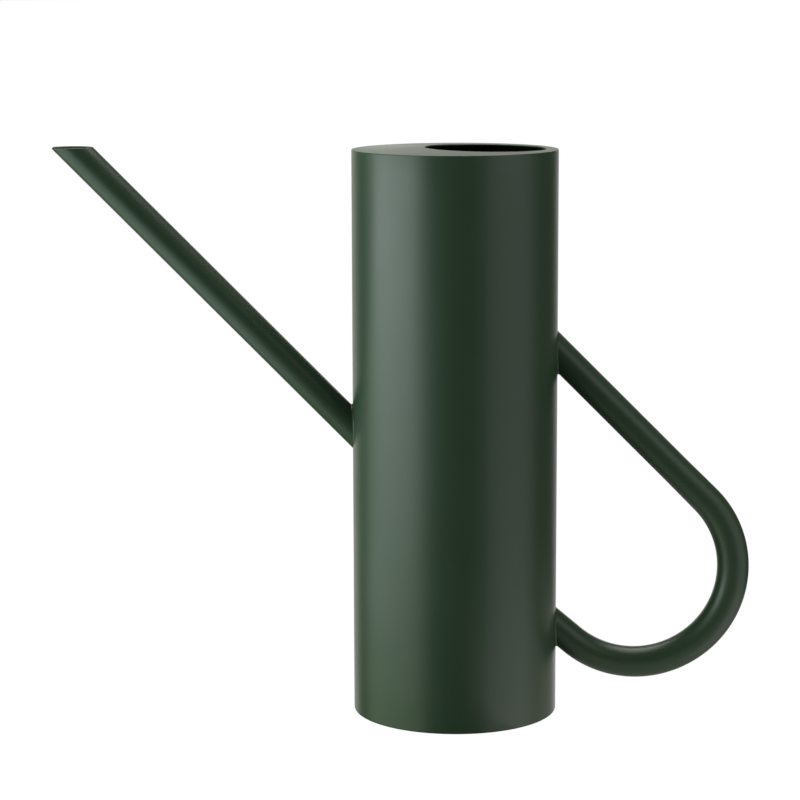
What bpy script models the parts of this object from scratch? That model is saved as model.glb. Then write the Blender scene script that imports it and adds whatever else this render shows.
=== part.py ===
"""A steel watering can: a tall round body, a shallow conical top plate with an off-centre fill
hole, a slanted spout and a handle bent from one tube.

Units are metres and +Z is up. The origin is on the body's axis, on the surface that the can
stands on. The spout points towards -X and the handle towards +X, both in the plane y = 0.
"""

import math

import bmesh
import bpy
from mathutils import Matrix, Vector

# Body
BODY_RADIUS = 0.0510
RIM_HEIGHT = 0.2826
SHEET = 0.0010
RIM_ROUND = 0.0004
FOOT_ROUND = 0.0009

# Top plate. The cone's rise is its height over the rim on the body's axis.
CONE_RISE = 0.00165
FILL_HOLE_RADIUS = 0.0300
FILL_HOLE_OFFSET = 0.0150

# Spout and handle tube
TUBE_RADIUS = 0.0075
SPOUT_RISE = math.radians(45.5)
SPOUT_WALL_HEIGHT = 0.1442
SPOUT_TIP_HEIGHT = 0.2841
HANDLE_FALL = math.radians(45.1)
HANDLE_WALL_HEIGHT = 0.1820
HANDLE_STRAIGHT = 0.1061
BEND_RADIUS = 0.0491
BEND_TURN = math.radians(175.0)
BEND_SWELL = 0.00055
SWELL_LEAD = 0.0200

# Welds
WELD_LEG = 0.0006
SEAM_WIDTH = 0.0011
GAP = 0.0003

# How far the bore's cutter reaches either side of the wall's surface
BORE_REACH = 0.0040

# Facets
BODY_SEGMENTS = 96
SPOUT_SEGMENTS = 36
HANDLE_SEGMENTS = 32
BEND_STEPS = 28
LEAD_STEPS = 2
PLATE_STEPS = 5
ROUND_STEPS = 3

SMOOTH_ANGLE = math.radians(30.0)
COAT_COLOUR = (0.018, 0.038, 0.020, 1.0)
COAT_ROUGHNESS = 0.45

Y_AXIS = Vector((0.0, 1.0, 0.0))


def clear_scene():
    """Removes whatever the file opens with."""
    for thing in list(bpy.data.objects):
        bpy.data.objects.remove(thing)


def powder_coat():
    """The dark green satin coat that covers every piece."""
    material = bpy.data.materials.new("powder_coat")
    material.use_nodes = True
    shader = material.node_tree.nodes["Principled BSDF"]
    shader.inputs["Base Color"].default_value = COAT_COLOUR
    shader.inputs["Metallic"].default_value = 0.0
    shader.inputs["Roughness"].default_value = COAT_ROUGHNESS
    return material


def add_object(name, shape, material, parent, location=(0.0, 0.0, 0.0)):
    """Makes the named object from a bmesh, with its faces pointing out."""
    bmesh.ops.recalc_face_normals(shape, faces=shape.faces[:])
    mesh = bpy.data.meshes.new(name)
    shape.to_mesh(mesh)
    shape.free()
    mesh.shade_smooth()
    mesh.set_sharp_from_angle(angle=SMOOTH_ANGLE)
    mesh.materials.append(material)
    piece = bpy.data.objects.new(name, mesh)
    piece.location = location
    piece.parent = parent
    bpy.context.scene.collection.objects.link(piece)
    return piece


def as_cutter(piece):
    """Marks a guide shape that only cuts another piece."""
    piece.hide_render = True
    piece.display_type = "WIRE"
    return piece


def cut(piece, cutter):
    """Subtracts the cutter from the piece."""
    modifier = piece.modifiers.new("cut_" + cutter.name, "BOOLEAN")
    modifier.operation = "DIFFERENCE"
    modifier.solver = "EXACT"
    modifier.object = cutter


def turned(profile):
    """Spins a closed loop of (radius, height) points about Z."""
    shape = bmesh.new()
    verts = [shape.verts.new((radius, 0.0, height)) for radius, height in profile]
    edges = [shape.edges.new(pair) for pair in zip(verts, verts[1:] + verts[:1])]
    bmesh.ops.spin(
        shape,
        geom=verts + edges,
        cent=(0.0, 0.0, 0.0),
        axis=(0.0, 0.0, 1.0),
        angle=2.0 * math.pi,
        steps=BODY_SEGMENTS,
        use_merge=True,
    )
    return shape


def rod(radius, start, end, segments):
    """A solid round rod from one point to another."""
    shape = bmesh.new()
    run = Vector(end) - Vector(start)
    turn = run.to_track_quat("Z", "Y").to_matrix().to_4x4()
    bmesh.ops.create_cone(
        shape,
        cap_ends=True,
        segments=segments,
        radius1=radius,
        radius2=radius,
        depth=run.length,
        matrix=Matrix.Translation((Vector(start) + Vector(end)) / 2.0) @ turn,
    )
    return shape


def lofted(rings):
    """A closed skin through equal rings in order, and from the last ring back to the first."""
    shape = bmesh.new()
    loops = [[shape.verts.new(point) for point in ring] for ring in rings]
    for near, far in zip(loops, loops[1:] + loops[:1]):
        for i in range(len(near)):
            j = (i + 1) % len(near)
            shape.faces.new((near[i], near[j], far[j], far[i]))
    return shape


def ring_angles(segments):
    """Equal angles round a circle."""
    return [2.0 * math.pi * i / segments for i in range(segments)]


def cross_section(centre, normal, in_plane, across, segments):
    """One oval ring of a tube: its half-width along the normal, and its half-width along Y."""
    return [
        centre + in_plane * math.cos(a) * normal + across * math.sin(a) * Y_AXIS
        for a in ring_angles(segments)
    ]


def saddle(point, heading, normal, tube_radius, body_radius, segments):
    """The ring where a round tube, on its axis through the point, meets the body's cylinder
    on the side where the point is."""
    side = math.copysign(1.0, point.x)
    ring = []
    for start in cross_section(point, normal, tube_radius, tube_radius, segments):
        wall_x = side * math.sqrt(body_radius**2 - start.y**2)
        ring.append(start + heading * (wall_x - start.x) / heading.x)
    return ring


def fillet_weld(point, heading, normal, segments):
    """The bead in the corner between a tube and the body, clear of both by the gap."""
    tube_skin = TUBE_RADIUS + GAP
    body_skin = BODY_RADIUS + GAP
    corners = [
        (tube_skin, body_skin),
        (tube_skin, body_skin + WELD_LEG),
        (tube_skin + WELD_LEG, body_skin),
    ]
    return lofted([saddle(point, heading, normal, *corner, segments) for corner in corners])


def quarter_round(radius, corner_radius, corner_height, up):
    """Profile points round an outer corner, from the side to the end face."""
    points = []
    for i in range(ROUND_STEPS + 1):
        a = math.pi / 2.0 * i / ROUND_STEPS
        along = corner_radius - radius + radius * math.cos(a)
        points.append((along, corner_height + up * (radius * math.sin(a) - radius)))
    return points


# Spout axis, from the body's wall outwards
spout_heading = Vector((-math.cos(SPOUT_RISE), 0.0, math.sin(SPOUT_RISE)))
spout_normal = Vector((math.sin(SPOUT_RISE), 0.0, math.cos(SPOUT_RISE)))
spout_root = Vector((-BODY_RADIUS, 0.0, SPOUT_WALL_HEIGHT))
bore_radius = TUBE_RADIUS - SHEET


def build_body_tube(material, can):
    """The round wall, with the hole that the spout's bore opens into."""
    inner = BODY_RADIUS - SHEET
    profile = quarter_round(RIM_ROUND, BODY_RADIUS, RIM_HEIGHT, 1.0)
    profile += [(inner, RIM_HEIGHT), (inner, 0.0)]
    profile += quarter_round(FOOT_ROUND, BODY_RADIUS, 0.0, -1.0)[::-1]
    tube = add_object("body_tube", turned(profile), material, can)
    reach = spout_heading * BORE_REACH
    bore = rod(bore_radius, spout_root - reach, spout_root + reach, SPOUT_SEGMENTS)
    cutter = add_object("spout_bore_cutter", bore, material, can)
    cut(tube, as_cutter(cutter))


def build_top_plate(material, can):
    """The lid, a shallow cone. Its rings pass from the fill hole, set towards the handle, to
    its edge."""
    edge = BODY_RADIUS - SHEET - 2.0 * GAP - SEAM_WIDTH

    def surface(depth):
        rings = []
        for i in range(PLATE_STEPS + 1):
            outwards = i / PLATE_STEPS
            offset = FILL_HOLE_OFFSET * (1.0 - outwards)
            radius = FILL_HOLE_RADIUS + (edge - FILL_HOLE_RADIUS) * outwards
            ring = []
            for a in ring_angles(BODY_SEGMENTS):
                point = Vector((offset + radius * math.cos(a), radius * math.sin(a), 0.0))
                point.z = CONE_RISE * (1.0 - point.length / edge) - depth
                ring.append(point)
            rings.append(ring)
        return rings

    shape = lofted(surface(0.0) + surface(SHEET)[::-1])
    add_object("top_plate", shape, material, can, (0.0, 0.0, RIM_HEIGHT))


def build_base_plate(material, can):
    """The flat disc that the can stands on."""
    edge = BODY_RADIUS - SHEET - 2.0 * GAP - SEAM_WIDTH
    disc = rod(edge, (0.0, 0.0, 0.0), (0.0, 0.0, SHEET), BODY_SEGMENTS)
    add_object("base_plate", disc, material, can)


def build_seam(name, bottom, top, material, can):
    """The weld ring between a plate's edge and the inside of the body."""
    outer = BODY_RADIUS - SHEET - GAP
    inner = outer - SEAM_WIDTH
    profile = [(outer, top), (inner, top), (inner, bottom), (outer, bottom)]
    add_object(name, turned(profile), material, can)


def build_spout(material, can):
    """The straight tube, shaped to the body at its root and cut level at its tip."""
    to_tip = (SPOUT_TIP_HEIGHT - spout_root.z) / spout_heading.z
    tip = spout_root + spout_heading * to_tip

    def skin(radius):
        """The two rings of one surface, at the root and at the level cut."""
        joint = (spout_root, spout_heading, spout_normal)
        first = saddle(*joint, radius, BODY_RADIUS + GAP, SPOUT_SEGMENTS)
        level = cross_section(tip, spout_normal, radius, radius, SPOUT_SEGMENTS)
        return [first, [p + spout_heading * (tip.z - p.z) / spout_heading.z for p in level]]

    shape = lofted(skin(TUBE_RADIUS) + skin(bore_radius)[::-1])
    add_object("spout_tube", shape, material, can)
    weld = fillet_weld(spout_root, spout_heading, spout_normal, SPOUT_SEGMENTS)
    add_object("spout_weld", weld, material, can)


def handle_frame(turned_by):
    """The handle's heading, and the normal that points out of its bend."""
    angle = -HANDLE_FALL - turned_by
    heading = Vector((math.cos(angle), 0.0, math.sin(angle)))
    return heading, Vector((-heading.z, 0.0, heading.x))


def build_handle(material, can):
    """One tube: down from the upper joint, round the bend, and back to the lower joint."""
    root = Vector((BODY_RADIUS, 0.0, HANDLE_WALL_HEIGHT))
    first_heading, first_normal = handle_frame(0.0)
    last_heading, last_normal = handle_frame(BEND_TURN)
    bend_start = root + first_heading * HANDLE_STRAIGHT
    bend_centre = bend_start - first_normal * BEND_RADIUS
    bend_end = bend_centre + last_normal * BEND_RADIUS

    # Stations are (distance past the start of the bend, centre, normal).
    stations = []
    for i in range(LEAD_STEPS):
        back = SWELL_LEAD * (1.0 - i / LEAD_STEPS)
        stations.append((-back, bend_start - first_heading * back, first_normal))
    for i in range(BEND_STEPS + 1):
        turned_by = BEND_TURN * i / BEND_STEPS
        normal = handle_frame(turned_by)[1]
        stations.append((BEND_RADIUS * turned_by, bend_centre + normal * BEND_RADIUS, normal))

    swollen_length = SWELL_LEAD + BEND_RADIUS * BEND_TURN

    def skin(radius):
        """The rings of one surface. The bend widens the section in its own plane and
        narrows it across, so that its girth stays the same."""
        wall = BODY_RADIUS + GAP
        rings = [saddle(root, first_heading, first_normal, radius, wall, HANDLE_SEGMENTS)]
        for distance, centre, normal in stations:
            part = (distance + SWELL_LEAD) / swollen_length
            swell = BEND_SWELL * math.sin(math.pi * part)
            widths = (radius + swell, radius - swell)
            rings.append(cross_section(centre, normal, *widths, HANDLE_SEGMENTS))
        last = saddle(bend_end, last_heading, last_normal, radius, wall, HANDLE_SEGMENTS)
        return rings + [last]

    shape = lofted(skin(TUBE_RADIUS) + skin(bore_radius)[::-1])
    add_object("handle_tube", shape, material, can)
    upper = fillet_weld(root, first_heading, first_normal, HANDLE_SEGMENTS)
    add_object("handle_upper_weld", upper, material, can)
    lower = fillet_weld(bend_end, last_heading, last_normal, HANDLE_SEGMENTS)
    add_object("handle_lower_weld", lower, material, can)


def main():
    clear_scene()
    can = bpy.data.objects.new("watering_can", None)
    bpy.context.scene.collection.objects.link(can)
    coat = powder_coat()
    build_body_tube(coat, can)
    build_base_plate(coat, can)
    build_seam("base_seam_weld", GAP, SHEET, coat, can)
    build_top_plate(coat, can)
    build_seam("top_seam_weld", RIM_HEIGHT - SHEET, RIM_HEIGHT, coat, can)
    build_spout(coat, can)
    build_handle(coat, can)


main()
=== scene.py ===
import math

import bmesh
import bpy
import numpy as np
from mathutils import Matrix, Vector


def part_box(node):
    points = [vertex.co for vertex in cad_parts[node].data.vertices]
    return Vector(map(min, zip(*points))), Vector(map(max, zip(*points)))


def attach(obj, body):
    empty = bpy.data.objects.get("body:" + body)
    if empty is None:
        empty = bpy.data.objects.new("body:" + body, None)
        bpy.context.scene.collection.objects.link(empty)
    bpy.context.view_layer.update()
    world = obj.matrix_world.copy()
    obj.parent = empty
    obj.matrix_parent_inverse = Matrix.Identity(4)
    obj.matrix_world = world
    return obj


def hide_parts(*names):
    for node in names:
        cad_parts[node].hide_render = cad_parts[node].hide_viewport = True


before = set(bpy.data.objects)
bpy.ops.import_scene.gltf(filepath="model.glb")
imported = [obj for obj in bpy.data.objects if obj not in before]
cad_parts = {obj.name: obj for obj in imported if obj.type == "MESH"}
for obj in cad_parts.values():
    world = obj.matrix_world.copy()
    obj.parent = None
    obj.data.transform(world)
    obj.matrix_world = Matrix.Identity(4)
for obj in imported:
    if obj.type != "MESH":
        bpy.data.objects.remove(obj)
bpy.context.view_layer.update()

# ---------------------------------------------------------------- sizes, in metres

SHEET = 0.0010

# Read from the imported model
BODY_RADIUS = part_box("body_tube")[1].y
RIM_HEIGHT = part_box("body_tube")[1].z
TUBE_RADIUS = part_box("spout_tube")[1].y
BORE_RADIUS = TUBE_RADIUS - SHEET
PLATE_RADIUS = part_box("top_plate")[1].y
PLATE_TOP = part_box("top_plate")[1].z
INNER_RADIUS = BODY_RADIUS - SHEET

# Body and top plate
HOLE_RADIUS = 0.0300
HOLE_OFFSET = 0.0150
RIM_ROUND = 0.0004
FOOT_ROUND = 0.0009

# Seams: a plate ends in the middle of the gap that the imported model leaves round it. The beads
# are flattened circles, and the base weld lies in a groove.
HALF_GAP = 0.00015
PLATE_EDGE = PLATE_RADIUS + HALF_GAP
ROOT_BULGE = 0.4
BASE_GROOVE = 0.0003
BASE_BULGE = 0.25

# Spout: its tip is a level cut at the top of its box
SPOUT_RISE = math.radians(45.5)
TIP_OUTER_ROUND = 0.0007
TIP_INNER_ROUND = 0.00005

# Handle
HANDLE_FALL = math.radians(45.1)
HANDLE_WALL_HEIGHT = 0.1820
HANDLE_STRAIGHT = 0.1061
BEND_RADIUS = 0.0491
BEND_TURN = math.radians(175.0)
BEND_SWELL = 0.00055
SWELL_LEAD = 0.0200

# Welds: the radius of the fillet, and how far its hidden edges reach into the metal
FILLET_RADIUS = 0.0006
FILLET_ROOT = 0.0003

# Mesh fineness
BODY_SEGMENTS = 256
TUBE_SEGMENTS = 64
ARC_STEPS = 6
SPOUT_STEPS = 24
STRAIGHT_STEPS = 16
LEAD_STEPS = 10
BEND_STEPS = 90
LAST_STEPS = 4
PLATE_STEPS = 16
SHARP_ANGLE = math.radians(40.0)

# The square patch of the wall round the spout's hole: columns to each side, rows, and where
# its loops lie between the hole and the patch's edge
PATCH_COLUMNS = 8
PATCH_ROWS = 20
PATCH_HALF_HEIGHT = 0.0140
PATCH_LAYERS = (0.0, 0.15, 0.36, 0.64)
ROWS_BELOW = 7
ROWS_ABOVE = 9

Y_AXIS = Vector((0.0, 1.0, 0.0))
Z_AXIS = Vector((0.0, 0.0, 1.0))


# ---------------------------------------------------------------- mesh tools


def circle_angles(segments):
    """Equal angles round a circle."""
    return [2.0 * math.pi * i / segments for i in range(segments)]


def add_ring(shape, points):
    """One vertex for each point."""
    return [shape.verts.new(point) for point in points]


def bridge(shape, near, far):
    """Quads between two rings of equal length."""
    for i in range(len(near)):
        j = (i + 1) % len(near)
        shape.faces.new((near[i], near[j], far[j], far[i]))


def loft(shape, rings, closed=True):
    """A skin through rings of points, closed from the last ring to the first if asked."""
    loops = [add_ring(shape, ring) for ring in rings]
    following = loops[1:] + loops[:1] if closed else loops[1:]
    for near, far in zip(loops, following):
        bridge(shape, near, far)
    return loops


def round_ring(radius, height):
    """A level ring of the body, starting at the spout's side."""
    return [
        Vector((-radius * math.cos(a), radius * math.sin(a), height))
        for a in circle_angles(BODY_SEGMENTS)
    ]


def turned_rings(profile):
    """A ring for each (radius, height) point."""
    return [round_ring(radius, height) for radius, height in profile]


def arc_points(centre, radius, first, last, steps=ARC_STEPS):
    """Points of a round corner in (radius, height), between two angles from the horizontal."""
    angles = [first + (last - first) * i / steps for i in range(steps + 1)]
    return [
        (centre[0] + radius * math.cos(a), centre[1] + radius * math.sin(a)) for a in angles
    ]


def add_piece(name, shape, material, nodes):
    """Finishes a piece, puts it on the model's body and lets it stand for CAD nodes."""
    bmesh.ops.recalc_face_normals(shape, faces=shape.faces[:])
    mesh = bpy.data.meshes.new(name)
    shape.to_mesh(mesh)
    shape.free()
    mesh.shade_smooth()
    mesh.set_sharp_from_angle(angle=SHARP_ANGLE)
    mesh.materials.append(material)
    piece = bpy.data.objects.new(name, mesh)
    bpy.context.scene.collection.objects.link(piece)
    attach(piece, "root")
    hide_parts(*nodes)
    return piece


# ---------------------------------------------------------------- tubes on the body


def cross_section(centre, normal, in_plane, across):
    """One oval ring of a tube: its half-width along the normal, and its half-width along Y."""
    return [
        centre + in_plane * math.cos(a) * normal + across * math.sin(a) * Y_AXIS
        for a in circle_angles(TUBE_SEGMENTS)
    ]


def run_to_wall(start, heading, side, body_radius):
    """Where a line along the tube meets the body's cylinder on the given side."""
    wall_x = side * math.sqrt(body_radius**2 - start.y**2)
    return start + heading * (wall_x - start.x) / heading.x


def saddle(joint, tube_radius, body_radius):
    """The ring where a round tube meets the body's cylinder."""
    point, heading, normal = joint
    side = math.copysign(1.0, point.x)
    starts = cross_section(point, normal, tube_radius, tube_radius)
    return [run_to_wall(start, heading, side, body_radius) for start in starts]


def blend_rings(first, last, steps):
    """Rings that pass evenly from the first to the last."""
    parts = [i / steps for i in range(steps + 1)]
    return [[a.lerp(b, part) for a, b in zip(first, last)] for part in parts]


def corner_arc(centre, radius, first, last):
    """Points of a round corner about its centre, swung from one direction to another."""
    spread = first.angle(last)
    arc = []
    for k in range(ARC_STEPS + 1):
        part = k / ARC_STEPS
        near = math.sin((1.0 - part) * spread) / math.sin(spread)
        far = math.sin(part * spread) / math.sin(spread)
        arc.append(centre + radius * (near * first + far * last))
    return arc


def fillet(name, joint, material, node):
    """The weld between a tube and the body: the hollow that a ball leaves as it rolls
    round the corner, with its hidden edges inside the metal."""
    point, heading, _ = joint
    arcs = []
    body_edge = []
    tube_edge = []
    centres = saddle(joint, TUBE_RADIUS + FILLET_RADIUS, BODY_RADIUS + FILLET_RADIUS)
    for centre in centres:
        on_axis = point + heading * (centre - point).dot(heading)
        to_tube = (on_axis - centre).normalized()
        to_body = Vector((-centre.x, -centre.y, 0.0)).normalized()
        arcs.append(corner_arc(centre, FILLET_RADIUS, to_tube, to_body))
        tube_edge.append(centre + (FILLET_RADIUS + FILLET_ROOT) * to_tube)
        body_edge.append(centre + (FILLET_RADIUS + FILLET_ROOT) * to_body)
    corner = saddle(joint, TUBE_RADIUS - FILLET_ROOT, BODY_RADIUS - FILLET_ROOT)
    rings = [list(ring) for ring in zip(*arcs)] + [body_edge, corner, tube_edge]
    shape = bmesh.new()
    loft(shape, rings)
    return add_piece(name, shape, material, [node])


# ---------------------------------------------------------------- the body

# The top is one shallow cone from the rim's round corner inwards. At the fill hole's nearest
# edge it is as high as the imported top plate.
CONE_EDGE = BODY_RADIUS - RIM_ROUND
HOLE_NEAREST = HOLE_RADIUS - HOLE_OFFSET
CONE_SLOPE = math.atan((PLATE_TOP - RIM_HEIGHT) / (CONE_EDGE - HOLE_NEAREST))


def cone_height(distance):
    """The top's height at a distance from the body's axis."""
    return RIM_HEIGHT + (CONE_EDGE - distance) * math.tan(CONE_SLOPE)


# The spout's joint: a point on its axis at the wall, its heading and its normal
spout_heading = Vector((-math.cos(SPOUT_RISE), 0.0, math.sin(SPOUT_RISE)))
spout_normal = Vector((math.sin(SPOUT_RISE), 0.0, math.cos(SPOUT_RISE)))
tip_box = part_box("spout_tube")
spout_tip = Vector((tip_box[0].x + TUBE_RADIUS / math.sin(SPOUT_RISE), 0.0, tip_box[1].z))
spout_run = (-BODY_RADIUS - spout_tip.x) / spout_heading.x
spout_root = spout_tip + spout_heading * spout_run
spout_joint = (spout_root, spout_heading, spout_normal)


def wall_side(shape, radius, low, high):
    """One side of the wall: a grid of quads from the low height to the high one, with a
    square patch round the spout's hole. Returns the low, the high and the hole's loops."""
    middle = spout_root.z
    patch_low = middle - PATCH_HALF_HEIGHT
    patch_high = middle + PATCH_HALF_HEIGHT
    heights = list(np.linspace(low, patch_low, ROWS_BELOW + 1)[:-1])
    first_row = ROWS_BELOW
    heights += list(np.linspace(patch_low, patch_high, PATCH_ROWS + 1))
    last_row = len(heights) - 1
    heights += list(np.linspace(patch_high, high, ROWS_ABOVE + 1)[1:])

    def place(angle, height):
        return Vector((-radius * math.cos(angle), radius * math.sin(angle), height))

    def in_patch(column, row):
        return abs(column) < PATCH_COLUMNS and first_row < row < last_row

    half = BODY_SEGMENTS // 2
    step = 2.0 * math.pi / BODY_SEGMENTS
    grid = {}
    for row, height in enumerate(heights):
        for column in range(-half, half):
            if not in_patch(column, row):
                grid[column, row] = shape.verts.new(place(column * step, height))
    for row in range(len(heights) - 1):
        for column in range(-half, half):
            beside = column + 1 if column + 1 < half else -half
            inside = -PATCH_COLUMNS <= column < PATCH_COLUMNS and first_row <= row < last_row
            if not inside:
                corners = ((column, row), (beside, row), (beside, row + 1), (column, row + 1))
                shape.faces.new([grid[corner] for corner in corners])

    # The patch's rim, counter-clockwise from its lower left corner
    rim = [(c, first_row) for c in range(-PATCH_COLUMNS, PATCH_COLUMNS)]
    rim += [(PATCH_COLUMNS, r) for r in range(first_row, last_row)]
    rim += [(c, last_row) for c in range(PATCH_COLUMNS, -PATCH_COLUMNS, -1)]
    rim += [(-PATCH_COLUMNS, r) for r in range(last_row, first_row, -1)]

    def hole_point(column, row):
        """The point of the bore's edge that looks towards a point of the patch's rim."""
        sideways = column / PATCH_COLUMNS
        upwards = (heights[row] - middle) / PATCH_HALF_HEIGHT
        a = math.atan2(sideways, upwards)
        start = spout_root + BORE_RADIUS * (
            math.cos(a) * spout_normal + math.sin(a) * Y_AXIS
        )
        return run_to_wall(start, spout_heading, -1.0, radius)

    loops = []
    for layer in PATCH_LAYERS:
        loop = []
        for column, row in rim:
            edge = hole_point(column, row)
            edge_angle = math.asin(edge.y / radius)
            angle = edge_angle + (column * step - edge_angle) * layer
            height = edge.z + (heights[row] - edge.z) * layer
            loop.append(shape.verts.new(place(angle, height)))
        loops.append(loop)
    loops.append([grid[spot] for spot in rim])
    for near, far in zip(loops, loops[1:]):
        bridge(shape, near, far)
    columns = list(range(0, half)) + list(range(-half, 0))
    low_loop = [grid[c, 0] for c in columns]
    high_loop = [grid[c, len(heights) - 1] for c in columns]
    return low_loop, high_loop, loops[0]


def build_body_wall(material):
    """The tube: its two sides, the rounded rim, the foot and the bore into the spout."""
    shape = bmesh.new()
    corner = (BODY_RADIUS - RIM_ROUND, RIM_HEIGHT - RIM_ROUND)
    rim = arc_points(corner, RIM_ROUND, 0.0, math.pi / 2.0 - CONE_SLOPE)
    side_top = rim[0][1]
    outer_low, outer_high, outer_hole = wall_side(shape, BODY_RADIUS, FOOT_ROUND, side_top)
    inner_top = cone_height(INNER_RADIUS)
    inner_low, inner_high, inner_hole = wall_side(
        shape, INNER_RADIUS, FOOT_ROUND, inner_top
    )
    bridge(shape, outer_hole, inner_hole)
    middle = (rim[-1][0] + INNER_RADIUS) / 2.0
    over = turned_rings(rim[1:] + [(middle, cone_height(middle))])
    loops = [outer_high] + [add_ring(shape, ring) for ring in over] + [inner_high]
    for near, far in zip(loops, loops[1:]):
        bridge(shape, near, far)
    inset = (SHEET - FOOT_ROUND) * 0.8
    foot = arc_points((BODY_RADIUS - FOOT_ROUND, FOOT_ROUND), FOOT_ROUND, 0.0, -math.pi / 2.0)
    foot += arc_points((INNER_RADIUS + inset, inset), inset, -math.pi / 2.0, -math.pi)
    under = [add_ring(shape, ring) for ring in turned_rings(foot[1:])]
    loops = [outer_low] + under + [inner_low]
    for near, far in zip(loops, loops[1:]):
        bridge(shape, near, far)
    return add_piece("body_wall", shape, material, ["body_tube"])


def build_top_seam(material):
    """The top weld, ground flush outside, with its root bead inside."""
    middle = (INNER_RADIUS + PLATE_EDGE) / 2.0
    profile = [(r, cone_height(r)) for r in (INNER_RADIUS, middle, PLATE_EDGE)]
    under = cone_height(middle) - SHEET
    half = (INNER_RADIUS - PLATE_EDGE) / 2.0
    root = arc_points((middle, under), half, -math.pi, 0.0)
    profile += [(r, under + (z - under) * ROOT_BULGE) for r, z in root]
    shape = bmesh.new()
    loft(shape, turned_rings(profile))
    return add_piece("top_seam_bead", shape, material, ["top_seam_weld"])


def build_top_cap(material):
    """The shallow conical plate, from its edge to the rounded lip of the fill hole."""
    lip = SHEET / 2.0
    inner = HOLE_RADIUS + lip

    def ring(towards_hole, radius, drop):
        offset = HOLE_OFFSET * towards_hole
        points = []
        for a in circle_angles(BODY_SEGMENTS):
            point = Vector((offset - radius * math.cos(a), radius * math.sin(a), 0.0))
            point.z = cone_height(point.length) - drop
            points.append(point)
        return points

    def surface(drop):
        parts = [i / PLATE_STEPS for i in range(PLATE_STEPS + 1)]
        return [ring(p, PLATE_EDGE + (inner - PLATE_EDGE) * p, drop) for p in parts]

    rings = surface(0.0)
    for i in range(1, 2 * ARC_STEPS):
        a = math.pi * i / (2 * ARC_STEPS)
        rings.append(ring(1.0, inner - lip * math.sin(a), lip - lip * math.cos(a)))
    rings += surface(SHEET)[::-1]
    shape = bmesh.new()
    loft(shape, rings)
    return add_piece("top_cap", shape, material, ["top_plate"])


def build_base_seam(material):
    """The base weld: a low round bead in the groove between the foot and the base plate."""
    outer = INNER_RADIUS
    inner = PLATE_EDGE
    middle = (outer + inner) / 2.0
    half = (outer - inner) / 2.0
    bead = arc_points((middle, BASE_GROOVE), half, 0.0, -math.pi)
    profile = [(r, BASE_GROOVE + (z - BASE_GROOVE) * BASE_BULGE) for r, z in bead]
    profile += [(inner, SHEET), (outer, SHEET)]
    shape = bmesh.new()
    loft(shape, turned_rings(profile))
    return add_piece("base_seam_bead", shape, material, ["base_seam_weld"])


def build_base_disc(material):
    """The flat base plate, with a rounded lower edge."""
    corner = (PLATE_EDGE - BASE_GROOVE, BASE_GROOVE)
    profile = [(PLATE_EDGE * part, SHEET) for part in (0.05, 0.25, 0.5, 0.75, 0.95, 1.0)]
    profile += arc_points(corner, BASE_GROOVE, 0.0, -math.pi / 2.0)
    profile += [(PLATE_EDGE * part, 0.0) for part in (0.95, 0.75, 0.5, 0.25, 0.05)]
    shape = bmesh.new()
    loops = loft(shape, turned_rings(profile), closed=False)
    for loop, height in ((loops[0], SHEET), (loops[-1], 0.0)):
        centre = shape.verts.new((0.0, 0.0, height))
        for i in range(len(loop)):
            shape.faces.new((loop[i], loop[(i + 1) % len(loop)], centre))
    return add_piece("base_disc", shape, material, ["base_plate"])


# ---------------------------------------------------------------- spout and handle


def level_ring(radius, height):
    """The ring where a tube of that radius, on the spout's axis, meets a level plane."""
    starts = cross_section(spout_tip, spout_normal, radius, radius)
    return [p + spout_heading * (height - p.z) / spout_heading.z for p in starts]


def tip_corner(radius, rounding, outwards):
    """The rings of the rounded edge at the level cut, from the tube's side to the cut.
    outwards is 1 for the outer edge and -1 for the bore's edge."""
    centres = level_ring(radius - outwards * rounding, spout_tip.z - rounding)
    arcs = []
    for centre in centres:
        on_axis = spout_tip + spout_heading * (centre - spout_tip).dot(spout_heading)
        to_side = outwards * (centre - on_axis).normalized()
        arcs.append(corner_arc(centre, rounding, to_side, Z_AXIS))
    return [list(ring) for ring in zip(*arcs)]


def build_spout(material):
    """The straight tube, from inside the body's wall to the level tip."""
    outer_edge = tip_corner(TUBE_RADIUS, TIP_OUTER_ROUND, 1.0)
    inner_edge = tip_corner(BORE_RADIUS, TIP_INNER_ROUND, -1.0)
    root = saddle(spout_joint, TUBE_RADIUS, BODY_RADIUS - FILLET_ROOT)
    rings = blend_rings(root, outer_edge[0], SPOUT_STEPS)
    rings += outer_edge[1:] + inner_edge[::-1]
    bore_end = saddle(spout_joint, BORE_RADIUS, BODY_RADIUS)
    rings += blend_rings(inner_edge[0], bore_end, SPOUT_STEPS)[1:]
    shape = bmesh.new()
    loft(shape, rings)
    return add_piece("spout", shape, material, ["spout_tube"])


def handle_frame(turned_by):
    """The handle's heading, and the normal that points out of its bend."""
    angle = -HANDLE_FALL - turned_by
    heading = Vector((math.cos(angle), 0.0, math.sin(angle)))
    return heading, Vector((-heading.z, 0.0, heading.x))


handle_root = Vector((BODY_RADIUS, 0.0, HANDLE_WALL_HEIGHT))
first_heading, first_normal = handle_frame(0.0)
last_heading, last_normal = handle_frame(BEND_TURN)
bend_start = handle_root + first_heading * HANDLE_STRAIGHT
bend_centre = bend_start - first_normal * BEND_RADIUS
bend_end = bend_centre + last_normal * BEND_RADIUS
upper_joint = (handle_root, first_heading, first_normal)
lower_joint = (bend_end, last_heading, last_normal)


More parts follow.
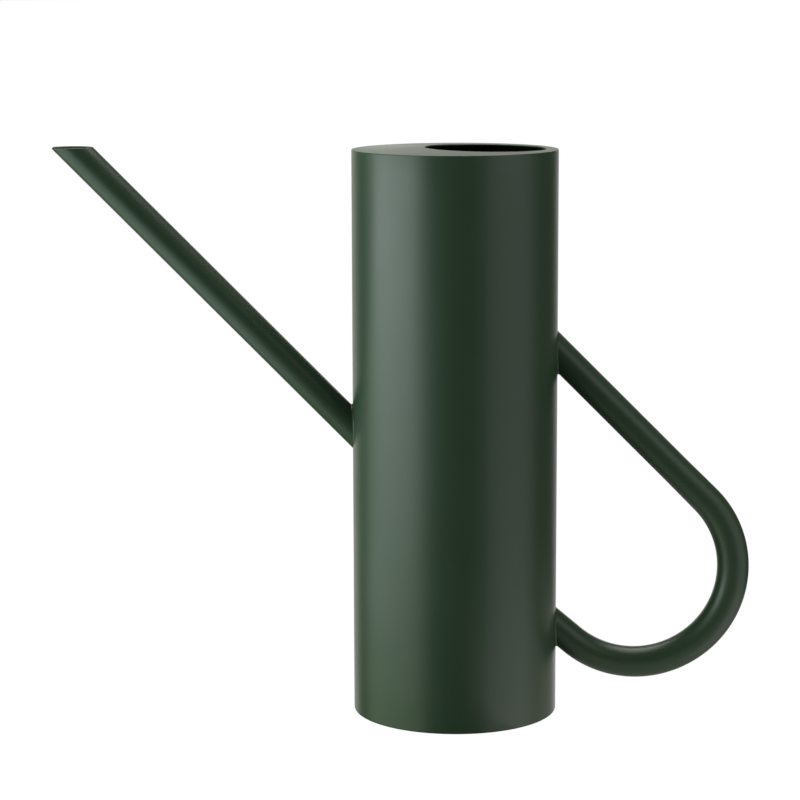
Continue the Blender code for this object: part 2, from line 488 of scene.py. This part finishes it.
def build_handle(material):
    """One tube from the upper joint, round the bend and back to the lower joint."""
    stations = []
    for i in range(LEAD_STEPS):
        back = SWELL_LEAD * (1.0 - i / LEAD_STEPS)
        stations.append((-back, bend_start - first_heading * back, first_normal))
    for i in range(BEND_STEPS + 1):
        turned_by = BEND_TURN * i / BEND_STEPS
        normal = handle_frame(turned_by)[1]
        centre = bend_centre + normal * BEND_RADIUS
        stations.append((BEND_RADIUS * turned_by, centre, normal))
    swollen_length = SWELL_LEAD + BEND_RADIUS * BEND_TURN

    def skin(radius):
        rings = []
        for distance, centre, normal in stations:
            swell = BEND_SWELL * math.sin(math.pi * (distance + SWELL_LEAD) / swollen_length)
            rings.append(cross_section(centre, normal, radius + swell, radius - swell))
        upper = saddle(upper_joint, radius, BODY_RADIUS - FILLET_ROOT)
        lower = saddle(lower_joint, radius, BODY_RADIUS - FILLET_ROOT)
        rings = blend_rings(upper, rings[0], STRAIGHT_STEPS)[:-1] + rings
        return rings + blend_rings(rings[-1], lower, LAST_STEPS)[1:]

    shape = bmesh.new()
    loft(shape, skin(TUBE_RADIUS) + skin(BORE_RADIUS)[::-1])
    return add_piece("handle", shape, material, ["handle_tube"])


# ---------------------------------------------------------------- materials


class Nodes:
    """Adds shader nodes to a tree and links them."""

    def __init__(self, tree):
        self.tree = tree

    def add(self, kind, **settings):
        node = self.tree.nodes.new(kind)
        for name, value in settings.items():
            setattr(node, name, value)
        return node

    def link(self, source, target):
        self.tree.links.new(source, target)


COAT_DARK = (0.0167, 0.0400, 0.0196, 1.0)
COAT_LIGHT = (0.0186, 0.0442, 0.0217, 1.0)
COAT_IOR = 1.5
SMOOTHEST = 0.355
ROUGHEST = 0.385
CLOUD_SCALE = 28.0
CLOUD_SHARE = 0.6
SPECK_SCALE = 2600.0
SPECK_SHARE = 0.4
PEEL_SCALE = 1100.0
PEEL_STRENGTH = 0.35
PEEL_DEPTH = 0.00002


def powder_coat():
    """Satin dark green powder coat: a fine orange peel, and slight unevenness in colour
    and gloss over a few centimetres."""
    material = bpy.data.materials.new("powder_coat_green")
    material.use_nodes = True
    tree = material.node_tree
    nodes = Nodes(tree)
    shader = tree.nodes["Principled BSDF"]
    place = nodes.add("ShaderNodeTexCoord")

    def noise(scale, detail):
        found = nodes.add("ShaderNodeTexNoise")
        found.inputs["Scale"].default_value = scale
        found.inputs["Detail"].default_value = detail
        nodes.link(place.outputs["Object"], found.inputs["Vector"])
        return found.outputs["Fac"]

    def remap(value, low, high):
        found = nodes.add("ShaderNodeMapRange")
        found.inputs["From Min"].default_value = 0.3
        found.inputs["From Max"].default_value = 0.7
        found.inputs["To Min"].default_value = low
        found.inputs["To Max"].default_value = high
        nodes.link(value, found.inputs["Value"])
        return found.outputs["Result"]

    cloud = noise(CLOUD_SCALE, 3.0)
    speck = noise(SPECK_SCALE, 1.0)
    colour = nodes.add("ShaderNodeMix", data_type="RGBA")
    colour.inputs["A"].default_value = COAT_DARK
    colour.inputs["B"].default_value = COAT_LIGHT
    both = nodes.add("ShaderNodeMath", operation="MULTIPLY_ADD")
    nodes.link(speck, both.inputs[0])
    both.inputs[1].default_value = SPECK_SHARE
    nodes.link(remap(cloud, 0.0, CLOUD_SHARE), both.inputs[2])
    nodes.link(both.outputs["Value"], colour.inputs["Factor"])
    nodes.link(colour.outputs["Result"], shader.inputs["Base Color"])

    nodes.link(remap(cloud, SMOOTHEST, ROUGHEST), shader.inputs["Roughness"])
    shader.inputs["IOR"].default_value = COAT_IOR

    peel = nodes.add("ShaderNodeBump")
    peel.inputs["Strength"].default_value = PEEL_STRENGTH
    peel.inputs["Distance"].default_value = PEEL_DEPTH
    nodes.link(noise(PEEL_SCALE, 2.0), peel.inputs["Height"])
    nodes.link(peel.outputs["Normal"], shader.inputs["Normal"])
    return material


# ---------------------------------------------------------------- studio

FLOOR_GLOW = 1.0
FLOOR_HALF_SIZE = 60.0
FLOOR_HEIGHT = -0.0001  # a hair under the base plate, so that the two never coincide

STUDIO_RADIUS = 1.6
NEAR_RADIUS = 0.9
CEILING = 1.8
ROOM_COLOUR = (0.98, 1.0, 0.86, 1.0)
ROOM_STRENGTH = 0.115

CAMERA_PLACE = Vector((-0.0274, -1.2732, 0.3632))
CAMERA_TILT = math.radians(90.0 - 9.167)
CAMERA_ROLL = math.radians(-0.172)
SENSOR_WIDTH = 36.0
LENS = 116.29


def floor_paint():
    """A plain white floor, lit evenly from within so that the lights leave no mark on it."""
    material = bpy.data.materials.new("pale_floor")
    material.use_nodes = True
    shader = material.node_tree.nodes["Principled BSDF"]
    shader.inputs["Base Color"].default_value = (0.01, 0.01, 0.01, 1.0)
    shader.inputs["Roughness"].default_value = 0.9
    shader.inputs["Specular IOR Level"].default_value = 0.0
    shader.inputs["Emission Color"].default_value = (1.0, 1.0, 1.0, 1.0)
    shader.inputs["Emission Strength"].default_value = FLOOR_GLOW
    return material


def build_floor():
    """A level pale floor that only the camera sees, so that it throws no light back."""
    mesh = bpy.data.meshes.new("floor")
    half = FLOOR_HALF_SIZE
    flat = [(-half, -half), (half, -half), (half, half), (-half, half)]
    corners = [(x, y, FLOOR_HEIGHT) for x, y in flat]
    mesh.from_pydata(corners, [], [(0, 1, 2, 3)])
    mesh.materials.append(floor_paint())
    floor = bpy.data.objects.new("floor", mesh)
    bpy.context.scene.collection.objects.link(floor)
    floor.visible_glossy = False
    floor.visible_diffuse = False
    floor.visible_shadow = False


def soft_panel(name, place, facing, width, tall, radiance):
    """A rectangular light. It faces along the given direction, and its radiance is its own
    brightness in red, green and blue."""
    strongest = max(radiance)
    light = bpy.data.lights.new(name, "AREA")
    light.shape = "RECTANGLE"
    light.size = width
    light.size_y = tall
    light.energy = strongest * width * tall * math.pi
    light.color = [value / strongest for value in radiance]
    lamp = bpy.data.objects.new(name, light)
    lamp.location = place
    lamp.rotation_euler = facing.to_track_quat("-Z", "Y").to_euler()
    lamp.visible_camera = False
    bpy.context.scene.collection.objects.link(lamp)


def upright_box(name, azimuth, height, width, tall, radiance, distance=STUDIO_RADIUS):
    """An upright soft box that faces the can's axis. Azimuth 0 is behind the can and 90 on
    its right, in degrees. Height is that of its centre."""
    a = math.radians(azimuth)
    away = Vector((math.sin(a), math.cos(a), 0.0))
    place = away * distance + Z_AXIS * height
    soft_panel(name, place, -away, width, tall, radiance)


def level_box(name, place, facing, width, deep, radiance):
    """A level soft box that faces down from overhead (-1) or up from the floor (1)."""
    soft_panel(name, Vector(place), Z_AXIS * facing, width, deep, radiance)


def build_lights():
    """Soft boxes at both sides and overhead, two pale panels behind, light thrown back by
    the floor, and a dim room."""
    upright_box("left_wide", -104.5, -0.35, 2.6, 2.7, (0.83, 1.06, 0.70))
    upright_box("left_key", -108.0, 0.19, 1.9, 0.35, (5.25, 5.65, 6.15))
    upright_box("right_fill", 116.0, -0.75, 1.75, 2.55, (0.72, 0.78, 0.74))
    upright_box("right_near", 124.0, 0.53, 0.7, 0.3, (1.30, 1.25, 1.22), NEAR_RADIUS)
    upright_box("back_left", -20.0, 0.10, 1.1, 1.35, (0.88, 0.91, 0.81))
    upright_box("back_right", 14.0, 0.10, 0.95, 1.3, (1.03, 1.00, 0.98))
    level_box("overhead", (0.11, 0.37, CEILING), -1.0, 1.8, 1.4, (4.4, 4.2, 4.1))
    level_box("left_bounce", (-0.79, -0.62, 0.0), 1.0, 1.1, 1.45, (0.65, 0.70, 0.85))
    level_box("right_bounce", (0.15, -0.02, 0.0), 1.0, 0.24, 0.34, (0.38, 0.36, 0.33))
    world = bpy.data.worlds.new("room")
    world.use_nodes = True
    background = world.node_tree.nodes["Background"]
    background.inputs["Color"].default_value = ROOM_COLOUR
    background.inputs["Strength"].default_value = ROOM_STRENGTH
    bpy.context.scene.world = world


def build_camera():
    """The camera in front of the can, a little above its rim, looking slightly down."""
    data = bpy.data.cameras.new("camera")
    data.sensor_width = SENSOR_WIDTH
    data.lens = LENS
    camera = bpy.data.objects.new("camera", data)
    turn = Matrix.Rotation(CAMERA_TILT, 4, "X") @ Matrix.Rotation(CAMERA_ROLL, 4, "Z")
    camera.matrix_world = Matrix.Translation(CAMERA_PLACE) @ turn
    bpy.context.scene.collection.objects.link(camera)
    bpy.context.scene.camera = camera


# ---------------------------------------------------------------- the can in its studio

build_camera()
coat = powder_coat()
build_body_wall(coat)
build_top_seam(coat)
build_top_cap(coat)
build_base_seam(coat)
build_base_disc(coat)
build_spout(coat)
build_handle(coat)
fillet("spout_fillet", spout_joint, coat, "spout_weld")
fillet("handle_upper_fillet", upper_joint, coat, "handle_upper_weld")
fillet("handle_lower_fillet", lower_joint, coat, "handle_lower_weld")
build_floor()
build_lights()
bpy.context.scene.view_settings.view_transform = "Standard"
